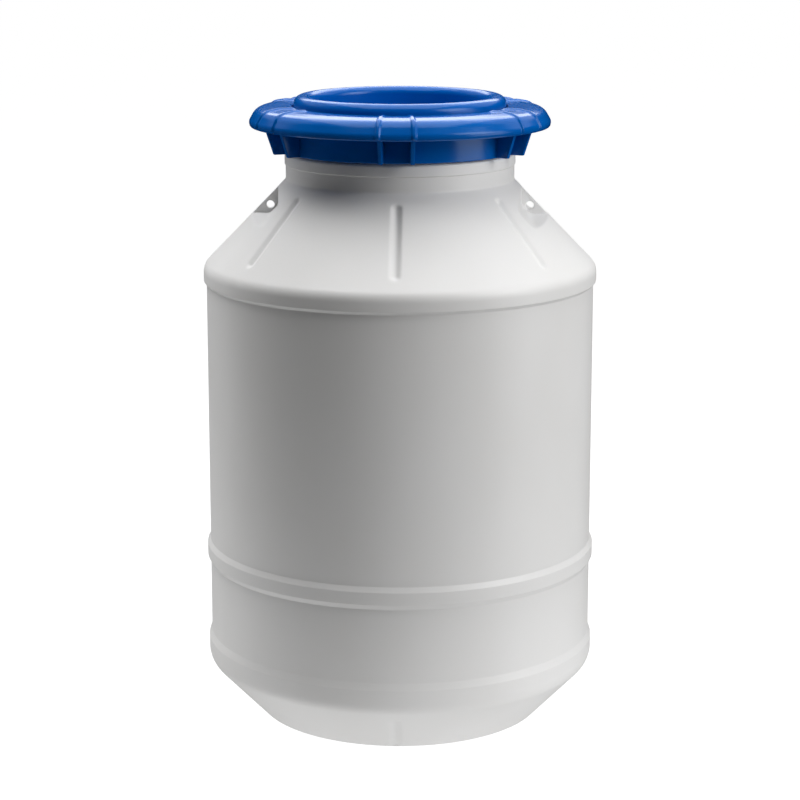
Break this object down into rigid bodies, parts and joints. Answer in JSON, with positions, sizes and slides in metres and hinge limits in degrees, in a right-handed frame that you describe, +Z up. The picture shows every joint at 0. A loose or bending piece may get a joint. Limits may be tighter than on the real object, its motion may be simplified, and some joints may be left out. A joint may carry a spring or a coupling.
{
  "type": "plastic open head drum",
  "caption": "Upright round drum with a tapered foot, rolling hoops, sloping shoulder with holed lugs, and a wide threaded neck under a screw ring with grip blocks and a dished inner disc.",
  "frame": {"origin": "centre of the foot, on the plane the drum stands on", "axes": "+Z up along the drum's axis, X through the two lugs, -Y towards the front flute"},
  "size_m": [0.3859, 0.386, 0.6145],
  "materials": {
    "drum_plastic": "satin white polyethylene, blow-moulded",
    "closure_plastic": "semi-gloss blue polypropylene, injection-moulded",
    "gasket_rubber": "smooth dark seal rubber"
  },
  "bodies": {
    "drum": {"drum_body": "drum_plastic"},
    "lid": {"lid_disc": "closure_plastic", "lid_gasket": "gasket_rubber"},
    "ring": {"screw_ring": "closure_plastic"}
  },
  "joints": [
    {"name": "lid_lift", "type": "slide", "parent": "drum", "child": "lid", "axis": [0, 0, 1], "range_m": [0, 0.024]},
    {"name": "ring_turn", "type": "hinge", "parent": "lid", "child": "ring", "pos_m": [0, 0, 0.58], "axis": [0, 0, 1], "range_deg": [0, 360]}
  ],
  "couplings": [
    {"joint": "lid_lift", "follows": "ring_turn", "m_per_rad": 0.0038197}
  ]
}
